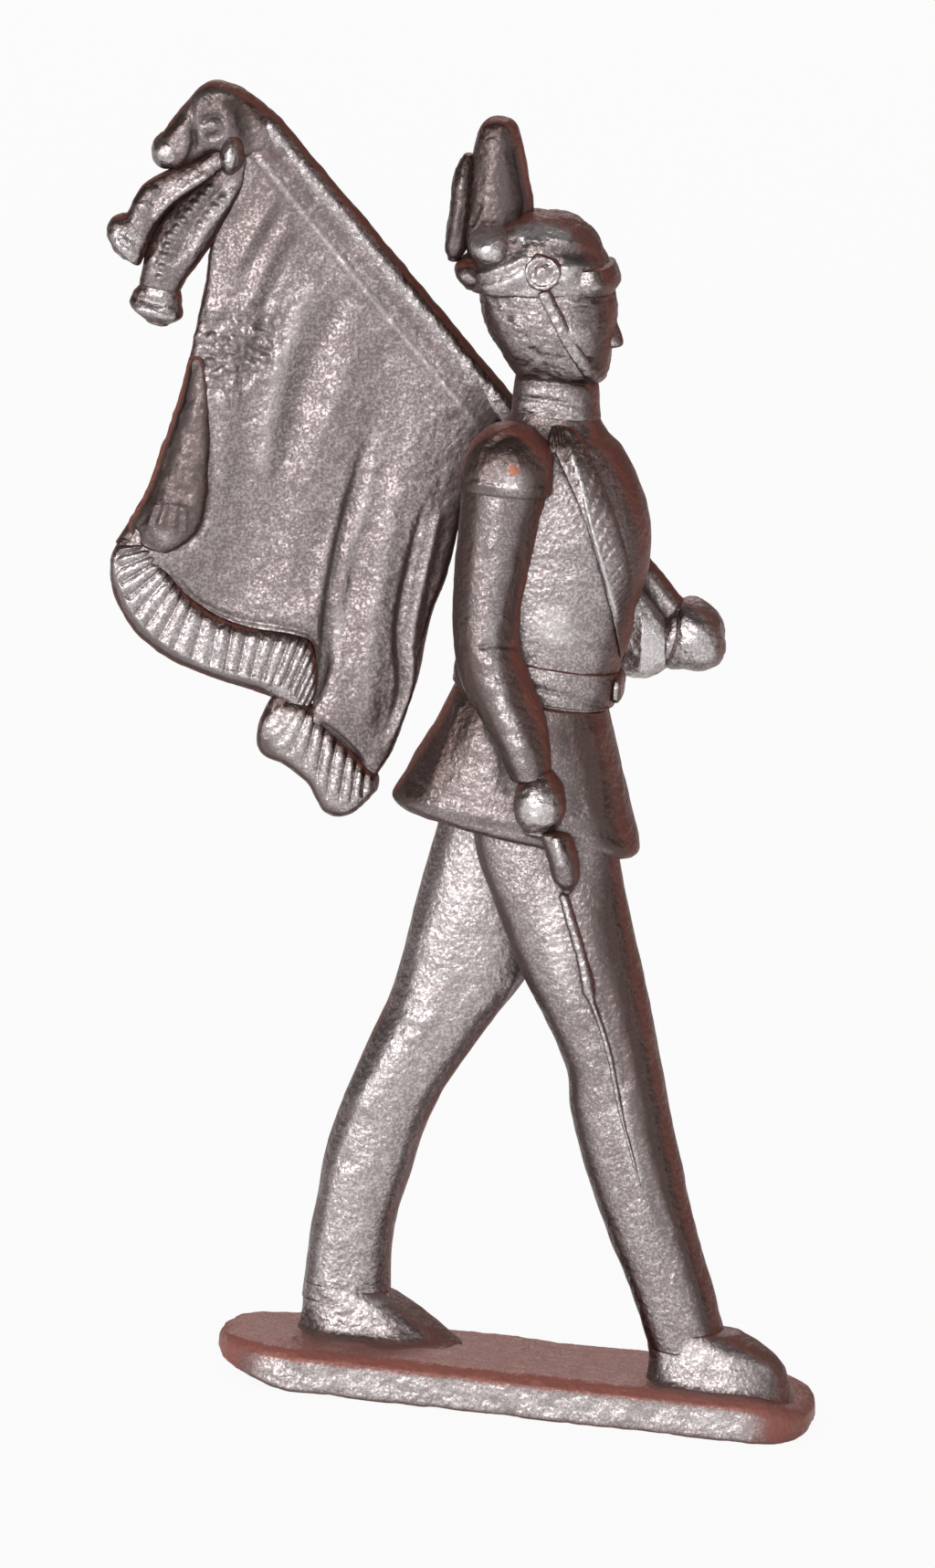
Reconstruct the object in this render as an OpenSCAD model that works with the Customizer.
// Toy standard bearer, a semi-flat casting that marches along +X on an oblong base.
// Millimetres, +Z up, the origin at the middle of the underside of the base.

/* [Base] */
// Length of the base plate along the march
base_l = 29.2; // [24:0.1:36]
// Depth of the base plate across the march
base_w = 8.6; // [8:0.1:11]
// Thickness of the base plate
base_t = 2.15; // [1.5:0.05:3]
// Radius of the base plate's corners
base_corner_r = 3; // [1:0.1:3.8]
// Width of the worn edge round the top of the base
base_edge = 0.4; // [0.1:0.05:0.8]

/* [Legs] */
// Height of a boot from sole to trouser hem
boot_h = 2.3; // [1.8:0.05:3]
// Length of a boot from heel to toe, measured by its sole
boot_l = 7; // [5.5:0.1:8]
// Depth of a boot across the march
boot_d = 3.8; // [3:0.1:4]
// Height of the legs from trouser hem to tunic hem
leg_h = 24.25; // [20:0.05:28]
// Width of the near thigh, which runs into the tunic's own width at the hem
thigh_w = 7.2; // [6:0.1:8]
// Depth of a thigh across the march
leg_d = 4; // [3.4:0.1:4.6]
// Distance of each leg's middle from the parting plane
leg_offset = 1.3; // [1:0.05:1.6]
// Reach of the front leg ahead of the hips
front_reach = 9.6; // [8:0.1:10.5]
// Reach of the rear leg behind the hips
rear_reach = 6.9; // [5.5:0.1:8]
// Thickness of the raised side seam
stripe_d = 0.5; // [0.3:0.05:0.8]

/* [Tunic] */
// Width of the tunic at the chest, back to front
body_w = 8.4; // [7.4:0.1:9.4]
// Depth of the chest across the march
torso_d = 5.8; // [5:0.1:6.6]
// Depth of the skirt across the march
skirt_d = 7; // [6.8:0.1:7.6]
// Height of the skirt from hem to waist
skirt_h = 6.3; // [5.4:0.1:7.2]
// Height of the tunic from waist to collar
torso_h = 13.9; // [12.5:0.1:15.5]
// Height of the collar
collar_h = 1.7; // [1.2:0.1:2.2]
// Width of the collar, back to front
collar_w = 4.2; // [3.6:0.1:4.6]
// Depth of the collar across the march
collar_d = 3.2; // [2.8:0.1:3.6]
// How far the belt stands out from the tunic
belt_t = 0.25; // [0.15:0.05:0.5]
// Height of the belt
belt_h = 1.8; // [1.2:0.1:2.4]
// How far the buckle stands out from the belt
buckle_t = 0.3; // [0.2:0.05:0.6]
// Width of the buckle across the march
buckle_w = 2.4; // [1.6:0.1:3.2]
// How far the bandolier stands out from the tunic
bandolier_t = 0.3; // [0.15:0.05:0.6]
// Width of the bandolier
bandolier_w = 1.5; // [1:0.1:2]

/* [Arms] */
// Length of the right arm from shoulder to wrist, measured upright
arm_h = 17.1; // [15:0.1:18]
// Width of a sleeve at the upper arm, back to front
sleeve_w = 4.1; // [3.4:0.1:4.6]
// Depth of a sleeve across the march
sleeve_d = 3.4; // [2.8:0.1:3.8]
// Distance of each arm's middle from the parting plane
arm_offset = 2.6; // [2.3:0.05:3]
// How far a shoulder cap stands out from its sleeve
shoulder_cap_t = 0.2; // [0.1:0.05:0.4]
// Width of the right hand, back to front
hand_w = 2.6; // [2:0.1:3]
// Height of the right hand from wrist to knuckles
hand_h = 2.8; // [2.2:0.1:3.4]
// Depth of the right hand across the march
hand_d = 2.6; // [2:0.1:3]
// Length of the fingers of the right hand
finger_h = 3; // [2.4:0.1:3.6]
// Width of the closed fingers, back to front
finger_w = 2; // [1.5:0.1:2.4]
// Depth of the closed fingers across the march
finger_d = 1.9; // [1.4:0.1:2.4]
// Width of the left fist along the march
fist_w = 3; // [2.5:0.1:3.4]
// Height of the left fist
fist_h = 3.5; // [3:0.1:4]
// Depth of the left fist across the march
fist_d = 3.2; // [2.6:0.1:3.6]
// Reach of the left fist ahead of the middle of the tunic
fist_reach = 7.2; // [6.6:0.1:8]
// Distance of the left fist from the parting plane
fist_offset = 2.8; // [2.5:0.05:3.1]

/* [Head] */
// Length of the head, back to face
head_w = 6.6; // [5.8:0.1:7.2]
// Depth of the head across the march
head_d = 4.8; // [4.2:0.1:5.2]
// Height of the face from chin to cap rim
face_h = 4.3; // [3.8:0.1:4.8]
// Length of the cap, back to front
cap_w = 6.8; // [6.2:0.1:7.4]
// Depth of the cap across the march
cap_d = 5.2; // [4.8:0.1:5.8]
// Height of the cap above its rim
cap_h = 3.75; // [3.2:0.05:4.4]
// Diameter of an ear rosette
rosette_d = 1.5; // [1:0.1:2]
// How far an ear rosette stands out from the cap
rosette_t = 0.3; // [0.2:0.05:0.6]
// Width of the chin strap
strap_w = 0.7; // [0.4:0.05:1]
// How far the chin strap stands out from the cheek
strap_t = 0.2; // [0.1:0.05:0.4]
// Height of the plume above its holder
plume_h = 7.1; // [6:0.1:8.5]
// Width of the plume, back to front
plume_w = 3.3; // [2.8:0.1:3.8]
// Depth of the plume across the march
plume_d = 2.6; // [2:0.1:3]
// Diameter of the ball that holds the plume
plume_holder_d = 2.7; // [2.2:0.1:3]
// Height of the tuft behind the plume
tuft_h = 5.2; // [4.4:0.1:6]
// Width of the tuft behind the plume
tuft_w = 1.4; // [1:0.1:1.8]
// Depth of the tuft across the march
tuft_d = 1.8; // [1.4:0.1:2.2]

/* [Flag] */
// Diameter of the flag staff
staff_d = 1.4; // [1:0.05:1.6]
// Length of the flag staff
staff_l = 35.2; // [33:0.1:37]
// Rise of the staff above the level, in degrees
staff_rise = 45.5; // [44:0.1:47]
// Slant of the staff towards the parting plane, in degrees
staff_slant = 5.7; // [4:0.1:7]
// Stretch of the staff below the middle of the fist
staff_butt = 0.9; // [0.6:0.05:1.3]
// Clearance round the staff in the fist
staff_clearance = 0.03; // [0.01:0.01:0.1]
// Width of the flag cloth along the march
flag_w = 18; // [17:0.1:19]
// Drop of the flag from the top of the staff
flag_h = 35; // [33:0.1:37]
// Thickness of the flag cloth
flag_t = 1.3; // [0.9:0.05:1.8]
// Depth of the folds in the flag cloth
fold_depth = 0.45; // [0.2:0.05:0.7]
// Thickness of the fringe along the flag's hem
fringe_t = 1.9; // [1.4:0.1:2.4]
// Depth of the grooves between the fringe's strands
fringe_groove = 0.12; // [0.05:0.01:0.2]
// Strands in the long fringe
fringe_strands = 18; // [12:1:22]
// Strands in the corner fringe
corner_strands = 8; // [5:1:10]
// Thickness of the rolled edge of the flag
roll_t = 1.8; // [1.2:0.1:2.2]

/* [Ribbons] */
// Width of the bow and ribbons, from the top of the staff
bow_w = 6; // [5:0.1:7]
// Drop of the ribbons from the top of the staff
bow_h = 11.5; // [10:0.1:12.5]
// Thickness of the bow
bow_t = 2.2; // [1.6:0.1:2.6]
// Thickness of a ribbon
ribbon_t = 1.6; // [1.2:0.1:2]
// Diameter of the ball at the end of the bow
bow_ball_d = 1.9; // [1.5:0.1:2.2]
// Diameter of the knot under the bow
bow_knot_d = 2.1; // [1.7:0.1:2.4]

/* [Hidden] */
$fn = 48;

// Sides of the larger and the smaller rounded forms
body_sides = 22;
limb_sides = 16;
trim_sides = 12;

// Heights of the figure, from the base up
ankle_z = base_t + boot_h;
hem_z = ankle_z + leg_h;
waist_z = hem_z + skirt_h;
neck_z = waist_z + torso_h;
chin_z = neck_z + collar_h;
rim_z = chin_z + face_h;

// Places along the march, as shares of the sizes that they follow
body_x = -base_l * 0.065;
head_x = body_x - body_w * 0.12;
cap_x = head_x - head_w * 0.075;
shoulder_at = [body_x - body_w * 0.285, arm_offset, neck_z - torso_h * 0.07];

// The left fist, the staff that it holds and the top of that staff
fist_at = [body_x + fist_reach, fist_offset, shoulder_at[2] - arm_h * 0.58];
staff_axis = [-cos(staff_rise) * cos(staff_slant), -cos(staff_rise) * sin(staff_slant), sin(staff_rise)];
staff_top = fist_at + (staff_l - staff_butt) * staff_axis;

// Smooth curves

// The row of a table at an index, held at its ends
function row_at(rows, i) = rows[max(0, min(len(rows) - 1, i))];

// A row between two rows of a table, on a curve that passes through every row
function blend_row(rows, i, t) =
    let (a = row_at(rows, i - 1), b = row_at(rows, i), c = row_at(rows, i + 1), d = row_at(rows, i + 2))
    b + (c - a) * t / 2 + (2 * a - 5 * b + 4 * c - d) * t * t / 2 + (3 * b - a - 3 * c + d) * t * t * t / 2;

// A table with more rows on the same curve
function smooth(rows, steps) =
    [for (i = [0 : len(rows) - 2]) for (k = [0 : steps - 1]) blend_row(rows, i, k / steps), rows[len(rows) - 1]];

// The point of a smooth table at a share of its whole run
function along(rows, share) =
    let (last = len(rows) - 1, i = min(floor(share * last), last - 1))
    blend_row(rows, i, share * last - i);

// Rounded forms

// One closed ring between a first edge point and a second edge point in the side view. The row holds
// both points, the middle along Y and the half depth along Y. A fullness under 1 squares the ring.
function ring(row, sides, grow, fullness) =
    let (span = [row[2] - row[0], row[3] - row[1]], reach = norm(span), half = span / 2 * (1 + 2 * grow / reach))
    [for (k = [0 : sides - 1])
        let (a = 360 * k / sides, c = sign(cos(a)) * pow(abs(cos(a)), fullness),
            s = sign(sin(a)) * pow(abs(sin(a)), fullness))
        [(row[0] + row[2]) / 2 + half[0] * c, row[4] + (row[5] + grow) * s, (row[1] + row[3]) / 2 + half[1] * c]];

// A closed skin over a stack of rings with as many points each
module loft(rings) {
    sides = len(rings[0]);
    last = len(rings) - 1;
    wall = [for (i = [0 : last - 1]) for (k = [0 : sides - 1])
        let (a = i * sides + k, b = i * sides + (k + 1) % sides)
        each [[a, a + sides, b + sides], [a, b + sides, b]]];
    first_cap = [for (k = [1 : sides - 2]) [0, k, k + 1]];
    last_cap = [for (k = [1 : sides - 2]) [last * sides, last * sides + k + 1, last * sides + k]];
    polyhedron(points = [for (r = rings) each r], faces = concat(wall, first_cap, last_cap));
}

// Shares of a piece's own width, depth and height, turned into rows at its place
function placed(at, size, shares) =
    [for (s = shares) [at[0] + s[0] * size[0], at[2] + s[1] * size[2], at[0] + s[2] * size[0],
        at[2] + s[3] * size[2], at[1] + s[4] * size[1], s[5] * size[1] / 2]];

// A rounded form through a table of rows
module form(rows, sides, steps = 2, grow = 0, fullness = 0.85) {
    loft([for (r = smooth(rows, steps)) ring(r, sides, grow, fullness)]);
}

// A flat box turned in the side view, used to cut bands out of grown forms
module slab(middle, turn, across, thick, run) {
    translate(middle) rotate([0, turn, 0]) cube([run, across, thick], center = true);
}

// Base and legs

module base_outline(inset) {
    translate([-base_l / 2 + base_corner_r, -base_w / 2 + base_corner_r])
        for (x = [0, base_l - 2 * base_corner_r]) for (y = [0, base_w - 2 * base_corner_r])
            translate([x, y]) circle(r = base_corner_r - inset);
}

module base_plate() {
    color("#6b4a44") hull() {
        linear_extrude(base_t - base_edge) base_outline(0);
        linear_extrude(base_t) base_outline(base_edge);
    }
}

// Width of the thighs where they enter the tunic
hip_w = body_w * 0.857;

// Width of a full thigh at a share of the leg's height
function thigh_at(share) = thigh_w + (hip_w - thigh_w) * pow(share, 4);

// Rows of a leg: height, reach of its middle from the hips, width and depth, all as shares
function leg_rows(shares, reach, offset) =
    [for (s = shares) let (x = body_x + s[1] * reach, w = s[2] * thigh_at(s[0]) / 2, z = ankle_z + s[0] * leg_h)
        [x - w, z, x + w, z, offset, s[3] * leg_d / 2]];

left_leg_shares = [
    [0, 1.018, 0.54, 0.82], [0.09, 1.007, 0.54, 0.85], [0.18, 0.976, 0.54, 0.88], [0.26, 0.933, 0.58, 0.9],
    [0.34, 0.871, 0.59, 0.93], [0.42, 0.773, 0.61, 0.95], [0.51, 0.643, 0.67, 0.98], [0.59, 0.494, 0.72, 1],
    [0.67, 0.364, 0.83, 1], [0.8, 0.263, 0.88, 0.97], [0.94, 0.172, 0.88, 0.87], [1.07, 0.107, 0.86, 0.72],
];
right_leg_shares = [
    [0, 1.05, 0.54, 0.82], [0.1, 0.95, 0.58, 0.88], [0.18, 0.858, 0.61, 0.9], [0.26, 0.772, 0.65, 0.93],
    [0.34, 0.7, 0.67, 0.95], [0.43, 0.624, 0.68, 0.95], [0.52, 0.574, 0.66, 0.98], [0.61, 0.478, 0.74, 1],
    [0.71, 0.371, 0.84, 1], [0.83, 0.243, 0.92, 0.97], [0.94, 0.142, 0.96, 0.87], [1.07, 0.098, 0.93, 0.72],
];
left_leg_rows = leg_rows(left_leg_shares, -rear_reach, leg_offset);
right_leg_rows = leg_rows(right_leg_shares, front_reach, -leg_offset);

module left_leg_form() { form(left_leg_rows, limb_sides); }
module right_leg_form() { form(right_leg_rows, limb_sides); }

module right_trouser_leg() {
    color("#85807d") difference() {
        right_leg_form();
        tunic_skirt_form();
    }
}

module left_trouser_leg() {
    color("#8c8784") difference() {
        left_leg_form();
        right_leg_form();
        tunic_skirt_form();
    }
}

// Boots, from sole to ankle, measured from the middle of the ankle
left_boot_shares = [
    [-0.28, 0, 0.81, 0, 0, 0.97], [-0.3, 0.21, 0.78, 0.21, 0, 1], [-0.3, 0.42, 0.64, 0.42, 0, 0.97],
    [-0.3, 0.68, 0.48, 0.68, 0, 0.92], [-0.3, 1, 0.27, 1, 0, 0.87],
];
right_boot_shares = [
    [-0.14, 0, 0.83, 0, 0, 0.97], [-0.15, 0.27, 0.82, 0.27, 0, 1], [-0.17, 0.53, 0.75, 0.53, 0, 0.97],
    [-0.19, 0.75, 0.59, 0.75, 0, 0.92], [-0.21, 1, 0.37, 1, 0, 0.87],
];
boot_size = [boot_l, boot_d, boot_h];

module left_boot() {
    color("#7d7875") form(placed([body_x - rear_reach, leg_offset, base_t], boot_size, left_boot_shares), limb_sides);
}

module right_boot() {
    color("#7d7875") form(placed([body_x + front_reach, -leg_offset, base_t], boot_size, right_boot_shares), limb_sides);
}

// Raised side seam on the near leg: height share of the leg and place across the leg's width, -1 to 1
stripe_shares = [
    [0.9, 0.05], [0.84, 0.2], [0.78, 0.25], [0.7, 0.3], [0.62, 0.3], [0.54, 0.1], [0.46, 0.08], [0.38, 0.12], [0.3, 0.16],
];

// Middle of the seam on the skin of the near leg
function stripe_at(s) =
    let (r = along(right_leg_rows, lookup(s[0], [for (i = [0 : len(right_leg_shares) - 1])
        [right_leg_shares[i][0], i / (len(right_leg_shares) - 1)]])), half = (r[2] - r[0]) / 2)
    [(r[0] + r[2]) / 2 + s[1] * half, r[4] - r[5] * pow(1 - pow(abs(s[1]), 2), 0.5), r[1]];

module trouser_stripe() {
    color("#b5b1ad") difference() {
        loft([for (s = smooth(stripe_shares, 2)) let (p = stripe_at(s))
            ring([p[0] + stripe_d / 2, p[2], p[0] - stripe_d / 2, p[2], p[1], stripe_d / 2], trim_sides, 0, 1)]);
        right_leg_form();
        right_fingers_form();
        tunic_skirt_form();
    }
}

// Tunic

skirt_shares = [
    [-0.72, 0.05, 0.65, -0.19, 0, 0.91], [-0.77, 0.11, 0.68, -0.12, 0, 0.97], [-0.71, 0.29, 0.62, 0.15, 0, 0.98],
    [-0.63, 0.53, 0.56, 0.42, 0, 0.95], [-0.55, 0.75, 0.49, 0.68, 0, 0.91], [-0.48, 1, 0.43, 0.93, 0, 0.83],
];
torso_shares = [
    [-0.48, 0, 0.43, -0.03, 0, 0.93], [-0.46, 0.14, 0.46, 0.11, 0, 0.91], [-0.49, 0.31, 0.51, 0.31, 0, 0.97],
    [-0.51, 0.48, 0.57, 0.48, 0, 1], [-0.5, 0.66, 0.55, 0.66, 0, 0.98], [-0.46, 0.8, 0.46, 0.8, 0, 0.88],
    [-0.39, 0.89, 0.36, 0.89, 0, 0.74], [-0.33, 0.94, 0.27, 0.94, 0, 0.62], [-0.29, 1, 0.21, 1, 0, 0.53],
];
skirt_rows = placed([body_x, 0, hem_z], [body_w, skirt_d, skirt_h], skirt_shares);
torso_rows = placed([body_x, 0, waist_z], [body_w, torso_d, torso_h], torso_shares);

module tunic_skirt_form() { form(skirt_rows, body_sides); }
module tunic_body_form(grow = 0) { form(torso_rows, body_sides, grow = grow); }

module tunic_skirt() {
    color("#7f7a77") difference() {
        tunic_skirt_form();
        tunic_body_form();
    }
}

module tunic_body() {
    color("#858079") difference() {
        tunic_body_form();
        staff(staff_clearance);
    }
}

// The belt slopes down to the front, as the waist does
belt_slope = 4;
belt_at = [body_x, 0, waist_z + belt_h / 2];

module belt_band(grow, height) {
    intersection() {
        tunic_body_form(grow);
        slab(belt_at, belt_slope, torso_d * 2, height, body_w * 2);
    }
}

module waist_belt() {
    color("#96918d") difference() {
        belt_band(belt_t, belt_h);
        tunic_body_form();
        tunic_skirt_form();
    }
}

module belt_buckle() {
    color("#a8a39f") difference() {
        intersection() {
            belt_band(belt_t + buckle_t, belt_h * 0.9);
            translate([body_x, -buckle_w / 2, waist_z - belt_h]) cube([body_w, buckle_w, belt_h * 3]);
        }
        tunic_body_form(belt_t);
        tunic_skirt_form();
    }
}

// The bandolier runs over the right shoulder by the neck and down the front to the belt
bandolier_at = [body_x + body_w * 0.27, -torso_d * 0.4, waist_z + torso_h * 0.63];
bandolier_turn = [-32, 65, 0];

module bandolier() {
    color("#6f6a66") difference() {
        intersection() {
            tunic_body_form(bandolier_t);
            translate(bandolier_at) rotate(bandolier_turn) cube([torso_h * 2, torso_h * 2, bandolier_w], center = true);
            slab(belt_at + [0, 0, (belt_h + torso_h) / 2], belt_slope, torso_d * 2, torso_h, body_w * 3);
        }
        tunic_body_form();
        right_sleeve_form(shoulder_cap_t);
        left_sleeve_form(shoulder_cap_t);
        collar_form();
        staff(staff_clearance);
    }
}

collar_shares = [
    [-0.58, 0, 0.44, 0, 0, 1], [-0.6, 0.29, 0.42, 0.29, 0, 1], [-0.58, 0.76, 0.39, 0.76, 0, 0.97],
    [-0.57, 1, 0.36, 1, 0, 0.91],
];

module collar_form() { form(placed([body_x, 0, neck_z], [collar_w, collar_d, collar_h], collar_shares), limb_sides); }

module collar() {
    color("#8a8581") difference() {
        collar_form();
        staff(staff_clearance);
    }
}

// Head and cap

head_shares = [
    [-0.2, 0, 0.35, 0, 0, 0.58], [-0.3, 0.16, 0.45, 0.09, 0, 0.77], [-0.41, 0.37, 0.47, 0.3, 0, 0.92],
    [-0.48, 0.58, 0.48, 0.51, 0, 1], [-0.53, 0.81, 0.49, 0.77, 0, 1], [-0.55, 1.02, 0.46, 1.05, 0, 1],
    [-0.52, 1.26, 0.36, 1.3, 0, 0.96],
];
nose_shares = [[0.3, 0.4, 0.46, 0.38, 0, 0.14], [0.3, 0.47, 0.55, 0.45, 0, 0.22], [0.3, 0.7, 0.49, 0.7, 0, 0.12]];
cap_shares = [
    [-0.49, -0.09, 0.49, 0.08, 0, 0.96], [-0.52, 0.11, 0.48, 0.27, 0, 1], [-0.5, 0.37, 0.43, 0.48, 0, 0.98],
    [-0.43, 0.61, 0.37, 0.69, 0, 0.88], [-0.32, 0.8, 0.28, 0.87, 0, 0.71], [-0.19, 0.95, 0.16, 0.97, 0, 0.42],
    [-0.09, 0.99, 0.06, 1, 0, 0.15],
];
peak_shares = [[0.15, 0.01, 0.51, 0.05, 0, 0.81], [0.16, 0.16, 0.55, 0.19, 0, 0.88], [0.18, 0.32, 0.5, 0.4, 0, 0.85]];
rear_band_shares = [
    [-0.56, -0.08, -0.38, -0.11, 0, 0.46], [-0.62, 0.07, -0.37, 0.03, 0, 0.65], [-0.63, 0.19, -0.38, 0.19, 0, 0.62],
    [-0.57, 0.29, -0.41, 0.29, 0, 0.42],
];
head_at = [head_x, 0, chin_z];
head_size = [head_w, head_d, face_h];
cap_at = [cap_x, 0, rim_z];
cap_size = [cap_w, cap_d, cap_h];

module head_form(grow = 0) { form(placed(head_at, head_size, head_shares), body_sides, grow = grow); }
module cap_form(grow = 0) { form(placed(cap_at, cap_size, cap_shares), body_sides, grow = grow); }
module rear_band_form() { form(placed(cap_at, cap_size, rear_band_shares), trim_sides); }

module head() {
    color("#8f8a86") difference() {
        union() {
            head_form();
            form(placed(head_at, head_size, nose_shares), trim_sides);
        }
        cap_form();
    }
}

module cap() { color("#7a7572") cap_form(); }

module cap_peak() {
    color("#8a8581") difference() {
        form(placed(cap_at, cap_size, peak_shares), limb_sides);
        cap_form();
        head_form();
    }
}

module cap_rear_band() {
    color("#8a8581") difference() {
        rear_band_form();
        cap_form();
        head_form();
        plume_holder_form();
    }
}

// A rosette over each ear
rosette_at = [cap_x, cap_d / 2, rim_z + cap_h * 0.25];

module rosettes() {
    for (side = [-1, 1])
        translate([rosette_at[0], 0, rosette_at[2]])
            rotate([-90 * side, 0, 0])
                cylinder(d = rosette_d, h = rosette_at[1] + rosette_t);
}

module ear_rosettes() {
    color("#a39e9a") difference() {
        rosettes();
        cap_form();
        head_form();
        cap_peak();
    }
}

// The strap runs from rosette to rosette under the chin
strap_at = [head_x + head_w * 0.2, 0, chin_z + face_h * 0.5];
strap_angle = 58;

module chin_strap() {
    color("#a09b97") difference() {
        intersection() {
            head_form(strap_t);
            slab(strap_at, strap_angle, head_d * 2, strap_w, head_w * 2);
        }
        head_form();
        cap_form();
        cap_peak();
        rosettes();
        collar_form();
    }
}

// Plume

holder_at = [cap_x - cap_w * 0.39, 0, rim_z + cap_h * 0.4];
plume_at = [holder_at[0], 0, holder_at[2] - plume_holder_d * 0.18];
tuft_at = [plume_at[0] - plume_w * 0.52, 0, plume_at[2]];
plume_shares = [
    [-0.27, 0, 0.24, 0.03, 0, 0.69], [-0.42, 0.15, 0.45, 0.18, 0, 0.96], [-0.41, 0.38, 0.58, 0.39, 0, 1],
    [-0.39, 0.58, 0.48, 0.59, 0, 0.96], [-0.36, 0.77, 0.36, 0.79, 0, 0.88], [-0.3, 0.92, 0.26, 0.93, 0, 0.77],
    [-0.2, 0.98, 0.15, 0.99, 0, 0.58], [-0.08, 1, 0.05, 1, 0, 0.27],
];
tuft_shares = [
    [-0.21, 0.01, 0.21, 0.01, 0, 0.56], [-0.36, 0.12, 0.43, 0.12, 0, 0.89], [-0.32, 0.42, 0.5, 0.42, 0, 1],
    [-0.32, 0.67, 0.5, 0.67, 0, 0.94], [-0.18, 0.87, 0.46, 0.87, 0, 0.78], [0.04, 0.99, 0.32, 0.99, 0, 0.44],
];

module plume_form() { form(placed(plume_at, [plume_w, plume_d, plume_h], plume_shares), limb_sides); }
module plume_holder_form() { translate(holder_at) sphere(d = plume_holder_d); }

module plume_holder() {
    color("#9a9591") difference() {
        plume_holder_form();
        cap_form();
    }
}

module plume() {
    color("#7a7572") difference() {
        plume_form();
        plume_holder_form();
        cap_form();
        rear_band_form();
    }
}

module plume_tuft() {
    color("#7d5a52") difference() {
        form(placed(tuft_at, [tuft_w, tuft_d, tuft_h], tuft_shares), trim_sides);
        plume_form();
        plume_holder_form();
        rear_band_form();
    }
}

// Right arm, which hangs on the near side

right_sleeve_shares = [
    [0.38, -0.97, 1.05, -0.93, -0.21, 0.76], [0.23, -0.89, 0.93, -0.86, -0.21, 0.85],
    [0.01, -0.81, 0.76, -0.77, -0.18, 0.88], [-0.22, -0.73, 0.6, -0.68, -0.12, 0.91],
    [-0.37, -0.63, 0.45, -0.59, -0.06, 0.94], [-0.44, -0.49, 0.45, -0.48, -0.01, 0.97],
    [-0.46, -0.31, 0.49, -0.31, 0, 1], [-0.46, -0.14, 0.55, -0.14, 0, 1], [-0.36, -0.04, 0.52, -0.04, 0.03, 0.94],
    [-0.18, 0.02, 0.31, 0.02, 0.06, 0.65], [-0.04, 0.03, 0.13, 0.03, 0.07, 0.29],
];
right_hand_shares = [
    [-0.13, -0.18, 0.37, -0.18, -0.04, 0.54], [-0.32, 0.05, 0.56, 0.05, -0.04, 0.88],
    [-0.36, 0.3, 0.62, 0.33, -0.02, 1], [-0.3, 0.58, 0.52, 0.65, 0, 0.92], [-0.17, 0.75, 0.35, 0.86, 0.02, 0.69],
];
right_finger_shares = [
    [0.33, -0.71, 0.58, -0.71, 0, 0.37], [0.1, -0.56, 0.7, -0.56, 0, 0.74], [-0.02, -0.32, 0.71, -0.32, -0.03, 0.89],
    [-0.17, -0.05, 0.61, -0.05, -0.05, 0.95], [-0.32, 0.18, 0.46, 0.18, -0.05, 0.84],
];
sleeve_size = [sleeve_w, sleeve_d, arm_h];
right_shoulder_at = [shoulder_at[0], -shoulder_at[1], shoulder_at[2]];
right_hand_at = right_shoulder_at + [sleeve_w * 0.73, -sleeve_d * 0.235, -arm_h * 1.082];
right_finger_at = right_hand_at + [hand_w * 0.42, 0, -hand_h * 0.4];

module right_sleeve_form(grow = 0) {
    form(placed(right_shoulder_at, sleeve_size, right_sleeve_shares), limb_sides, grow = grow);
}
module right_hand_form() { form(placed(right_hand_at, [hand_w, hand_d, hand_h], right_hand_shares), limb_sides); }
module right_fingers_form() {
    form(placed(right_finger_at, [finger_w, finger_d, finger_h], right_finger_shares), trim_sides);
}

module right_sleeve() {
    color("#77726f") difference() {
        right_sleeve_form();
        tunic_body_form();
        belt_band(belt_t, belt_h);
        tunic_skirt_form();
    }
}

// A shoulder cap is the grown top of its sleeve, down to the seam
module shoulder_cap(at) {
    intersection() {
        children();
        translate([at[0] - sleeve_w, at[1] - sleeve_d, at[2] - arm_h * 0.175]) cube([sleeve_w * 2, sleeve_d * 2, arm_h]);
    }
}

module right_shoulder_cap() {
    color("#8f8a86") difference() {
        shoulder_cap(right_shoulder_at) right_sleeve_form(shoulder_cap_t);
        right_sleeve_form();
        tunic_body_form();
    }
}

module right_hand() {
    color("#a8a39f") difference() {
        right_hand_form();
        right_sleeve_form();
        tunic_skirt_form();
        right_leg_form();
    }
}

module right_fingers() {
    color("#9a9591") difference() {
        right_fingers_form();
        right_hand_form();
        tunic_skirt_form();
        right_leg_form();
    }
}

// Left arm, bent forward to the fist that holds the staff

left_sleeve_shares = [
    [0.48, -0.73, 0.63, -0.5, 0.12, 0.88],
    [-0.22, -0.68, 0.39, -0.45, 0.12, 0.91], [-0.44, -0.52, 0.34, -0.39, 0.07, 0.94],
    [-0.49, -0.36, 0.37, -0.32, 0.04, 0.94], [-0.43, -0.18, 0.42, -0.18, 0.01, 0.94],
    [-0.36, -0.08, 0.37, -0.08, -0.03, 0.88], [-0.21, -0.02, 0.21, -0.02, -0.06, 0.65], [-0.08, 0, 0.06, 0, -0.07, 0.29],
];
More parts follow.
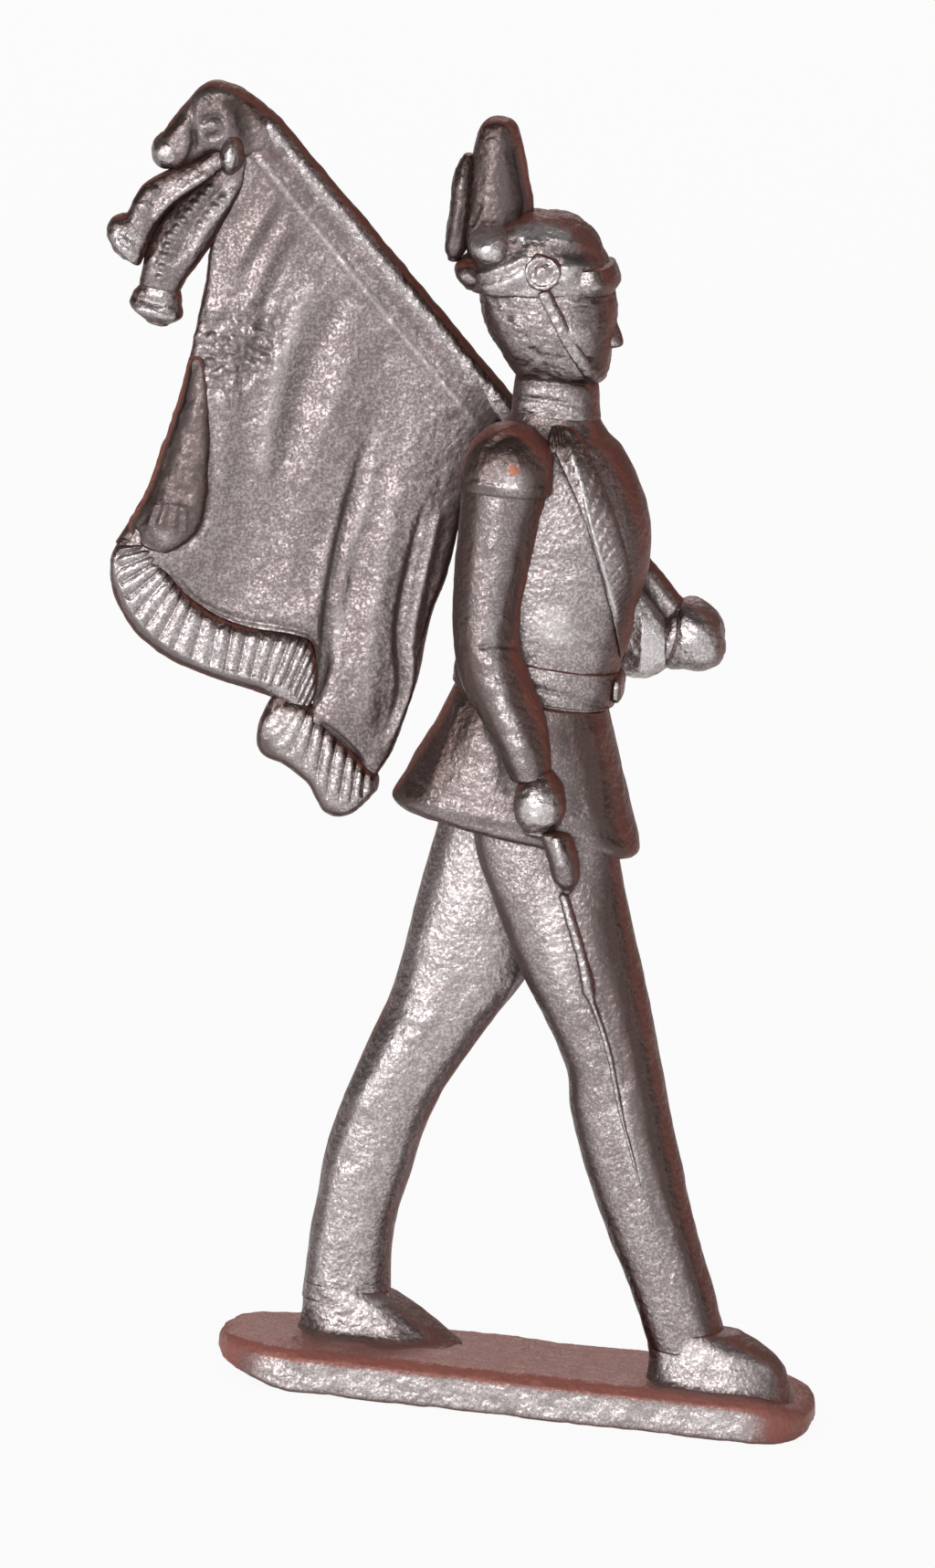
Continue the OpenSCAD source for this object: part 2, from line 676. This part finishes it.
// The end of that sleeve at the cuff, measured from the fist
left_wrist_shares = [[-1.05, -0.6, -1.06, 0.25, 0, 0.81], [-1.7, -0.66, -1.67, 0.28, 0.03, 0.87]];
fist_shares = [
    [0.47, -0.2, 0.45, 0, 0, 0.31], [0.38, -0.35, 0.35, 0.29, 0, 0.75], [0.13, -0.45, 0.1, 0.49, 0, 1],
    [-0.13, -0.47, -0.17, 0.55, 0, 1], [-0.37, -0.48, -0.37, 0.46, 0, 0.91], [-0.5, -0.45, -0.52, 0.23, 0, 0.75],
];
cuff_shares = [
    [-0.5, -0.53, -0.52, 0.26, 0, 0.81], [-0.77, -0.65, -0.8, 0.35, 0, 1], [-1.05, -0.67, -1.07, 0.32, 0, 0.97],
];
fist_size = [fist_w, fist_d, fist_h];

left_sleeve_rows = concat(placed(fist_at, fist_size, left_wrist_shares),
    placed(shoulder_at, sleeve_size, left_sleeve_shares));

module left_sleeve_form(grow = 0) { form(left_sleeve_rows, limb_sides, grow = grow); }
module left_cuff_form() { form(placed(fist_at, fist_size, cuff_shares), limb_sides); }

module left_sleeve() {
    color("#77726f") difference() {
        left_sleeve_form();
        left_cuff_form();
        tunic_body_form();
        tunic_skirt_form();
        belt_band(belt_t, belt_h);
        staff(staff_clearance);
    }
}

module left_shoulder_cap() {
    color("#8f8a86") difference() {
        shoulder_cap(shoulder_at) left_sleeve_form(shoulder_cap_t);
        left_sleeve_form();
        tunic_body_form();
        staff(staff_clearance);
    }
}

module left_cuff() {
    color("#a8a39f") difference() {
        left_cuff_form();
        tunic_body_form();
        tunic_skirt_form();
        staff(staff_clearance);
    }
}

module left_hand() {
    color("#a8a39f") difference() {
        form(placed(fist_at, fist_size, fist_shares), limb_sides);
        left_cuff_form();
        staff(staff_clearance);
    }
}

// Flag staff

module staff(grow = 0) {
    translate(fist_at - staff_butt * staff_axis)
        rotate([0, staff_rise - 90, staff_slant])
            cylinder(d = staff_d + 2 * grow, h = staff_l);
}

module flag_staff() { color("#8a8581") staff(); }

// Flag, hung in the upright plane of its staff

// Depth of the flag's plane at a place along the march
function flag_y(x) = staff_top[1] + (x - staff_top[0]) * tan(staff_slant);

// A point of the side view from shares of the flag's width and drop
function flag_point(s) = [staff_top[0] + s[0] * flag_w, staff_top[2] + s[1] * flag_h];

// A point of the side view on the staff, from a share of its length below the top
function staff_point(share) = let (p = staff_top - share * staff_l * staff_axis) [p[0], p[2]];

// The stretch of the staff that the cloth hangs from
hoist_shares = [0.015, 0.566];
hoist = [for (s = hoist_shares) staff_point(s)];
left_edge_shares = [
    [-0.017, -0.088], [-0.055, -0.188], [-0.066, -0.273], [-0.083, -0.344], [-0.102, -0.416],
    [-0.121, -0.473], [-0.154, -0.532], [-0.198, -0.592], [-0.242, -0.64],
];
right_edge_shares = [
    [0.709, -0.467], [0.676, -0.553], [0.649, -0.644], [0.618, -0.701],
    [0.583, -0.795], [0.555, -0.851], [0.528, -0.903], [0.495, -0.936],
];
hem_shares = [
    [-0.242, -0.64], [-0.176, -0.652], [-0.099, -0.67], [-0.039, -0.702], [0.049, -0.729], [0.143, -0.74],
    [0.253, -0.742], [0.308, -0.752], [0.324, -0.786], [0.321, -0.829], [0.324, -0.86], [0.368, -0.872],
    [0.423, -0.896], [0.462, -0.916], [0.495, -0.936],
];
left_edge = concat([hoist[0]], [for (s = left_edge_shares) flag_point(s)]);
right_edge = concat([hoist[1]], [for (s = right_edge_shares) flag_point(s)]);
flag_hem = [for (s = hem_shares) flag_point(s)];

// A point of the cloth between its four edges, at shares across and down
function cloth_point(u, v) =
    let (top = hoist[0] + (hoist[1] - hoist[0]) * u, hem = along(flag_hem, u),
        left = along(left_edge, v), right = along(right_edge, v),
        corners = (hoist[0] * (1 - u) + hoist[1] * u) * (1 - v) + (flag_hem[0] * (1 - u) + right_edge[len(right_edge) - 1] * u) * v)
    top * (1 - v) + hem * v + left * (1 - u) + right * u - corners;

// How far the cloth swells to the far side at shares across and down
fold_count = 3;
function fold(u, v) = fold_depth * pow(v, 0.6) * cos(360 * fold_count * u + 60 * v);

cloth_columns = 33;
cloth_rows = 15;

// One face of the cloth: -1 is the near face and 1 the far face
function cloth_face(side) =
    [for (j = [0 : cloth_rows - 1]) for (i = [0 : cloth_columns - 1])
        let (u = i / (cloth_columns - 1), v = j / (cloth_rows - 1), p = cloth_point(u, v))
        [p[0], flag_y(p[0]) + fold(u, v) + side * flag_t / 2, p[1]]];

module cloth_form() {
    count = cloth_columns * cloth_rows;
    grid = [for (j = [0 : cloth_rows - 2]) for (i = [0 : cloth_columns - 2])
        let (a = j * cloth_columns + i, b = a + cloth_columns)
        each [[a, a + 1, b + 1], [a, b + 1, b],
            [count + a, count + b + 1, count + a + 1], [count + a, count + b, count + b + 1]]];
    border = concat([for (i = [0 : cloth_columns - 1]) i],
        [for (j = [1 : cloth_rows - 1]) j * cloth_columns + cloth_columns - 1],
        [for (i = [1 : cloth_columns - 1]) count - 1 - i],
        [for (j = [1 : cloth_rows - 2]) (cloth_rows - 1 - j) * cloth_columns]);
    rim = [for (k = [0 : len(border) - 1]) let (a = border[k], b = border[(k + 1) % len(border)])
        each [[a, count + a, count + b], [a, count + b, b]]];
    polyhedron(points = concat(cloth_face(-1), cloth_face(1)), faces = concat(grid, rim));
}

module flag_cloth() {
    color("#857c76") difference() {
        cloth_form();
        staff();
        tunic_body_form();
        left_sleeve_form(shoulder_cap_t);
        right_sleeve_form(shoulder_cap_t);
    }
}

// Rows of a band whose edges are shares of a width and a drop from the top of the staff
function band_rows(shares, size, thick, shift = 0) =
    [for (s = shares) let (x = staff_top[0] + (s[0] + s[2]) / 2 * size[0])
        [staff_top[0] + s[0] * size[0], staff_top[2] + s[1] * size[1], staff_top[0] + s[2] * size[0],
            staff_top[2] + s[3] * size[1], flag_y(x) + shift, s[4] * thick / 2]];

flag_size = [flag_w, flag_h];
fringe_shares = [
    [-0.242, -0.64, -0.256, -0.677, 0.6], [-0.198, -0.647, -0.237, -0.714, 0.9], [-0.143, -0.659, -0.193, -0.752, 1],
    [-0.088, -0.676, -0.127, -0.784, 1], [-0.022, -0.709, -0.05, -0.802, 1], [0.055, -0.73, 0.038, -0.817, 1],
    [0.143, -0.74, 0.121, -0.827, 1], [0.231, -0.742, 0.187, -0.834, 1], [0.297, -0.749, 0.236, -0.842, 1],
    [0.324, -0.783, 0.275, -0.854, 0.9], [0.33, -0.82, 0.302, -0.857, 0.6],
];
corner_fringe_shares = [
    [0.212, -0.859, 0.187, -0.893, 0.6], [0.247, -0.859, 0.209, -0.922, 0.9], [0.297, -0.864, 0.269, -0.934, 1],
    [0.346, -0.866, 0.33, -0.957, 1], [0.396, -0.883, 0.374, -0.992, 1], [0.44, -0.902, 0.423, -0.997, 1],
    [0.473, -0.922, 0.462, -0.982, 0.9], [0.495, -0.936, 0.495, -0.959, 0.6],
];
roll_shares = [
    [-0.127, -0.655, -0.072, -0.655, 0.5], [-0.198, -0.617, -0.028, -0.619, 1], [-0.182, -0.578, -0.008, -0.579, 1],
    [-0.154, -0.529, -0.008, -0.531, 0.95], [-0.127, -0.472, -0.017, -0.474, 0.8], [-0.099, -0.41, -0.033, -0.411, 0.55],
    [-0.085, -0.37, -0.061, -0.37, 0.3],
];

// A fringe is a band whose depth rises and falls once for each strand
module fringe_form(shares, strands) {
    rows = band_rows(shares, flag_size, fringe_t);
    loft([for (k = [0 : 2 * strands]) ring(along(rows, k / strands / 2), trim_sides, -fringe_groove * (k % 2), 0.6)]);
}

module flag_fringe() {
    color("#a39e9a") difference() {
        fringe_form(fringe_shares, fringe_strands);
        cloth_form();
    }
}

module flag_corner_fringe() {
    color("#a39e9a") difference() {
        fringe_form(corner_fringe_shares, corner_strands);
        fringe_form(fringe_shares, fringe_strands);
        cloth_form();
    }
}

module flag_rolled_edge() {
    color("#8a807a") difference() {
        form(band_rows(roll_shares, flag_size, roll_t, -flag_t / 2), trim_sides);
        cloth_form();
        fringe_form(fringe_shares, fringe_strands);
    }
}

// Bow and ribbons at the top of the staff

bow_size = [bow_w, bow_h];
bow_shares = [
    [0.07, -0.1, 0.15, 0, 0.8], [-0.12, -0.1, -0.1, 0.05, 1], [-0.26, -0.12, -0.31, 0.05, 1],
    [-0.36, -0.17, -0.48, -0.05, 1], [-0.41, -0.22, -0.59, -0.14, 0.9], [-0.45, -0.26, -0.66, -0.2, 0.7],
];
upper_ribbon_shares = [
    [-0.85, -0.54, -0.66, -0.65, 0.9], [-0.74, -0.43, -0.56, -0.53, 0.9], [-0.59, -0.36, -0.41, -0.46, 0.9],
    [-0.38, -0.3, -0.25, -0.38, 0.9], [-0.21, -0.25, -0.12, -0.29, 0.8],
];
upper_end_shares = [
    [-0.94, -0.67, -0.82, -0.72, 0.5], [-1, -0.62, -0.73, -0.74, 0.9], [-0.96, -0.57, -0.68, -0.7, 1],
    [-0.85, -0.54, -0.66, -0.65, 0.9],
];
lower_ribbon_shares = [
    [-0.71, -0.83, -0.39, -0.85, 0.9], [-0.69, -0.71, -0.35, -0.75, 1], [-0.59, -0.57, -0.25, -0.64, 1],
    [-0.43, -0.45, -0.13, -0.52, 1], [-0.25, -0.34, -0.05, -0.39, 0.9], [-0.13, -0.28, -0.02, -0.31, 0.8],
];
lower_end_shares = [
    [-0.64, -0.99, -0.46, -0.99, 0.5], [-0.78, -0.93, -0.35, -0.96, 1], [-0.77, -0.89, -0.36, -0.9, 1],
    [-0.71, -0.83, -0.39, -0.85, 0.9],
];
bow_ball_share = [-0.56, -0.25];
bow_knot_share = [-0.1, -0.21];

// A point of the bow, in the plane of the flag
function bow_point(share) =
    let (x = staff_top[0] + share[0] * bow_w) [x, flag_y(x), staff_top[2] + share[1] * bow_h];

module bow_form() { form(band_rows(bow_shares, bow_size, bow_t), trim_sides); }
module bow_knot_form() { translate(bow_point(bow_knot_share)) sphere(d = bow_knot_d); }
module upper_ribbon_form() { form(band_rows(upper_ribbon_shares, bow_size, ribbon_t), trim_sides); }
module lower_ribbon_form() { form(band_rows(lower_ribbon_shares, bow_size, ribbon_t), trim_sides); }

module ribbon_bow() {
    color("#8f8a86") difference() {
        bow_form();
        staff(staff_clearance);
        cloth_form();
        bow_knot_form();
    }
}

module bow_ball() {
    color("#a8a39f") difference() {
        translate(bow_point(bow_ball_share)) sphere(d = bow_ball_d);
        bow_form();
    }
}

module bow_knot() {
    color("#9a9591") difference() {
        bow_knot_form();
        staff(staff_clearance);
        cloth_form();
    }
}

module upper_ribbon() {
    color("#9a9591") difference() {
        upper_ribbon_form();
        lower_ribbon_form();
        bow_knot_form();
        cloth_form();
    }
}

module lower_ribbon() {
    color("#9a9591") difference() {
        lower_ribbon_form();
        bow_knot_form();
        cloth_form();
    }
}

module upper_ribbon_end() {
    color("#a8a39f") difference() {
        form(band_rows(upper_end_shares, bow_size, ribbon_t), trim_sides);
        lower_ribbon_form();
    }
}

module lower_ribbon_end() { color("#a8a39f") form(band_rows(lower_end_shares, bow_size, ribbon_t), trim_sides); }

base_plate();
left_boot();
right_boot();
left_trouser_leg();
right_trouser_leg();
trouser_stripe();
tunic_skirt();
tunic_body();
waist_belt();
belt_buckle();
bandolier();
collar();
head();
cap();
cap_peak();
cap_rear_band();
ear_rosettes();
chin_strap();
plume_holder();
plume();
plume_tuft();
right_sleeve();
right_shoulder_cap();
right_hand();
right_fingers();
left_sleeve();
left_shoulder_cap();
left_cuff();
left_hand();
flag_staff();
flag_cloth();
flag_rolled_edge();
flag_fringe();
flag_corner_fringe();
ribbon_bow();
bow_ball();
bow_knot();
upper_ribbon();
lower_ribbon();
upper_ribbon_end();
lower_ribbon_end();
